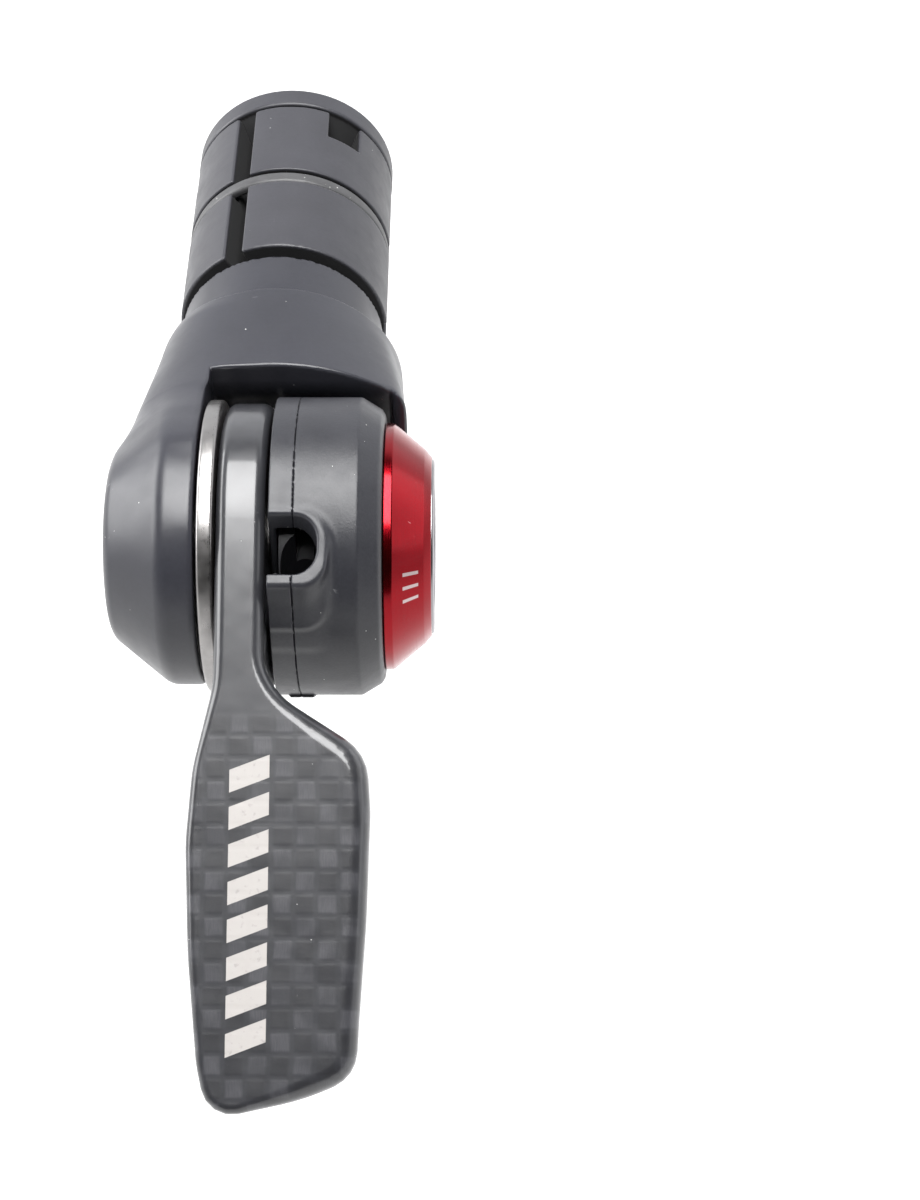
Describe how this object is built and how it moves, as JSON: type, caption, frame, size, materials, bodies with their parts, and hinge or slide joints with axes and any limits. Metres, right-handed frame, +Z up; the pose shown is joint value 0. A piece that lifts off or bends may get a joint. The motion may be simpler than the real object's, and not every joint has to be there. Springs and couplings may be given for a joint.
{
  "type": "bar-end shifter",
  "caption": "Bar-end gear shifter for an aero bar: expanding plug, black housing with a domed pivot ear, sprung carbon lever, covered cable spool and red end cap.",
  "frame": {"origin": "centre of the shoulder of the collar that meets the end of the bar, on the bar's axis", "axes": "+Y along the bar's axis into the bar, +X along the lever's pivot towards the red cap, +Z up with the lever's blade hanging forwards and down"},
  "size_m": [0.0284, 0.1028, 0.0323],
  "materials": {
    "housing_black": "satin black anodised casting",
    "expander_black": "matte black anodised",
    "moulded_black": "fine-grained moulded nylon",
    "spool_black": "moulded acetal",
    "carbon_gloss": "woven carbon fibre under clear gloss resin",
    "bright_steel": "turned bright steel",
    "spring_steel": "drawn spring wire",
    "polished_alloy": "polished with turning marks",
    "red_anodised": "bright red anodised, machined",
    "rubber_black": "smooth O-ring rubber"
  },
  "bodies": {
    "housing": {"housing": "housing_black", "threaded_insert": "bright_steel", "thrust_plate": "bright_steel", "cover_dowel": "bright_steel", "pivot_bolt": "bright_steel", "red_cap": "red_anodised", "cap_disc": "polished_alloy", "return_spring": "spring_steel", "spool_cover_inner": "moulded_black", "spool_cover_outer": "moulded_black", "hold_pawl_pin": "bright_steel", "hold_pawl_spring": "spring_steel", "expander_washer": "bright_steel", "o_ring": "rubber_black"},
    "lever": {"lever": "carbon_gloss", "lever_sleeve": "bright_steel", "retaining_clip": "spring_steel", "pawl_carrier": "bright_steel", "drive_pawl_pin": "bright_steel", "drive_pawl_spring": "spring_steel"},
    "cable_spool": {"cable_spool": "spool_black", "ratchet_wheel": "bright_steel"},
    "drive_pawl": {"drive_pawl": "bright_steel"},
    "hold_pawl": {"hold_pawl": "bright_steel"},
    "expander_bolt": {"expander_bolt": "bright_steel"},
    "rear_wedge": {"rear_wedge": "expander_black", "wedge_nut": "bright_steel"},
    "expander_segment_1": {"expander_segment_1": "expander_black"},
    "expander_segment_2": {"expander_segment_2": "expander_black"},
    "expander_segment_3": {"expander_segment_3": "expander_black"}
  },
  "joints": [
    {"name": "lever_pivot", "type": "hinge", "parent": "housing", "child": "lever", "pos_m": [0, -0.02281, 0], "axis": [1, 0, 0], "range_deg": [-22.5, 22.5], "stiffness_Nm_per_rad": 0.4, "deforming": ["return_spring"]},
    {"name": "spool_turn", "type": "hinge", "parent": "housing", "child": "cable_spool", "pos_m": [0.00405, -0.02281, 0], "axis": [1, 0, 0], "range_deg": [0, 202.5]},
    {"name": "drive_pawl_rock", "type": "hinge", "parent": "lever", "child": "drive_pawl", "pos_m": [0.00704, -0.01329, 0.00392], "axis": [1, 0, 0], "range_deg": [0, 14], "stiffness_Nm_per_rad": 0.0005, "deforming": ["drive_pawl_spring"]},
    {"name": "hold_pawl_rock", "type": "hinge", "parent": "housing", "child": "hold_pawl", "pos_m": [0.00704, -0.02677, -0.00951], "axis": [1, 0, 0], "range_deg": [0, 14], "stiffness_Nm_per_rad": 0.0005, "deforming": ["hold_pawl_spring"]},
    {"name": "expander_bolt_turn", "type": "hinge", "parent": "housing", "child": "expander_bolt", "pos_m": [0, 0, 0], "axis": [0, 1, 0], "range_deg": [0, 270]},
    {"name": "rear_wedge_slide", "type": "slide", "parent": "housing", "child": "rear_wedge", "axis": [0, -1, 0], "range_m": [0, 0.0006], "deforming": ["o_ring"]},
    {"name": "expander_segment_1_slide", "type": "slide", "parent": "housing", "child": "expander_segment_1", "axis": [0.3903, -0.7071, 0.5896], "range_m": [0, 0.00043]},
    {"name": "expander_segment_2_slide", "type": "slide", "parent": "housing", "child": "expander_segment_2", "axis": [-0.7058, -0.7071, 0.0432], "range_m": [0, 0.00043]},
    {"name": "expander_segment_3_slide", "type": "slide", "parent": "housing", "child": "expander_segment_3", "axis": [0.3155, -0.7071, -0.6328], "range_m": [0, 0.00043]}
  ],
  "couplings": [
    {"joint": "expander_bolt_turn", "follows": "rear_wedge_slide", "rad_per_m": 7854},
    {"joint": "expander_segment_1_slide", "follows": "rear_wedge_slide", "ratio": 0.70711},
    {"joint": "expander_segment_2_slide", "follows": "rear_wedge_slide", "ratio": 0.70711},
    {"joint": "expander_segment_3_slide", "follows": "rear_wedge_slide", "ratio": 0.70711}
  ]
}
